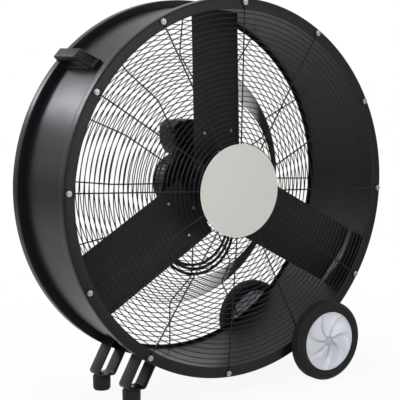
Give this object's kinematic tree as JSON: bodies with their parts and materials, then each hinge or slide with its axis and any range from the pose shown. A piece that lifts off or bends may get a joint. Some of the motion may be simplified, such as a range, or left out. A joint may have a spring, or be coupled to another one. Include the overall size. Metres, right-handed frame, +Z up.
{
  "type": "drum fan",
  "caption": "Round drum fan with wire guards front and rear, sheet-metal blades, motor carried by the rear guard, carrying handle, wheels and rubber feet.",
  "frame": {"origin": "on the floor, under the middle of the drum", "axes": "-Y is the way the air leaves (the fan's front), +X is to the right seen from the front, where the wheels are, and +Z is up"},
  "size_m": [1.126, 0.45, 1.1765],
  "materials": {
    "drum_steel": "satin black powder coat",
    "guard_wire": "satin black powder-coated wire",
    "blade_steel": "satin black powder coat",
    "disc_grey": "satin light grey",
    "motor_paint": "semi-gloss black enamel",
    "bright_steel": "zinc plated",
    "stator_core": "laminations and varnished windings",
    "black_plastic": "moulded, lightly textured",
    "cord_pvc": "matt cord sheath",
    "tyre_rubber": "moulded rubber",
    "foot_rubber": "moulded rubber",
    "wheel_plastic": "silver moulded plastic"
  },
  "bodies": {
    "drum": {"drum_shell": "drum_steel", "front_rim": "drum_steel", "rear_rim": "drum_steel", "front_guard": "guard_wire", "centre_disc": "disc_grey", "rear_guard": "guard_wire", "motor_plate": "drum_steel", "motor_front_bell": "motor_paint", "motor_rear_bell": "motor_paint", "motor_shell": "motor_paint", "stator": "stator_core", "front_bearing": "bright_steel", "rear_bearing": "bright_steel", "control_box": "black_plastic", "box_cover": "black_plastic", "speed_switch": "black_plastic", "capacitor": "bright_steel", "strain_relief": "black_plastic", "cord_lead": "cord_pvc", "cord_coil": "cord_pvc", "cord_tail": "cord_pvc", "mains_plug": "black_plastic", "cord_tie": "cord_pvc", "handle": "black_plastic", "axle_bracket_front": "drum_steel", "axle_bracket_rear": "drum_steel", "leg_front": "drum_steel", "leg_rear": "drum_steel", "axle": "bright_steel", "axle_clip_front": "bright_steel", "axle_spacer_front": "drum_steel", "axle_clip_rear": "bright_steel", "axle_spacer_rear": "drum_steel", "foot_front": "foot_rubber", "foot_bolt_front": "bright_steel", "foot_rear": "foot_rubber", "foot_bolt_rear": "bright_steel"},
    "rotor": {"motor_shaft": "bright_steel", "rotor_core": "bright_steel", "rotor_hub": "drum_steel", "blade_1": "blade_steel", "blade_2": "blade_steel", "blade_3": "blade_steel"},
    "front_wheel": {"front_tyre": "tyre_rubber", "front_wheel_hub": "wheel_plastic", "front_wheel_cap": "wheel_plastic"},
    "rear_wheel": {"rear_tyre": "tyre_rubber", "rear_wheel_hub": "wheel_plastic", "rear_wheel_cap": "wheel_plastic"},
    "knob": {"speed_knob": "black_plastic"}
  },
  "joints": [
    {"name": "rotor_spin", "type": "hinge", "parent": "drum", "child": "rotor", "pos_m": [0, 0, 0.6135], "axis": [0, 1, 0], "continuous": true},
    {"name": "front_wheel_spin", "type": "hinge", "parent": "drum", "child": "front_wheel", "pos_m": [0.31589, 0, 0.1235], "axis": [0, 1, 0], "continuous": true},
    {"name": "rear_wheel_spin", "type": "hinge", "parent": "drum", "child": "rear_wheel", "pos_m": [0.31589, 0, 0.1235], "axis": [0, 1, 0], "continuous": true},
    {"name": "speed_knob_turn", "type": "hinge", "parent": "drum", "child": "knob", "pos_m": [0, 0.168, 0.75955], "axis": [0, 1, 0], "range_deg": [0, 90]}
  ]
}
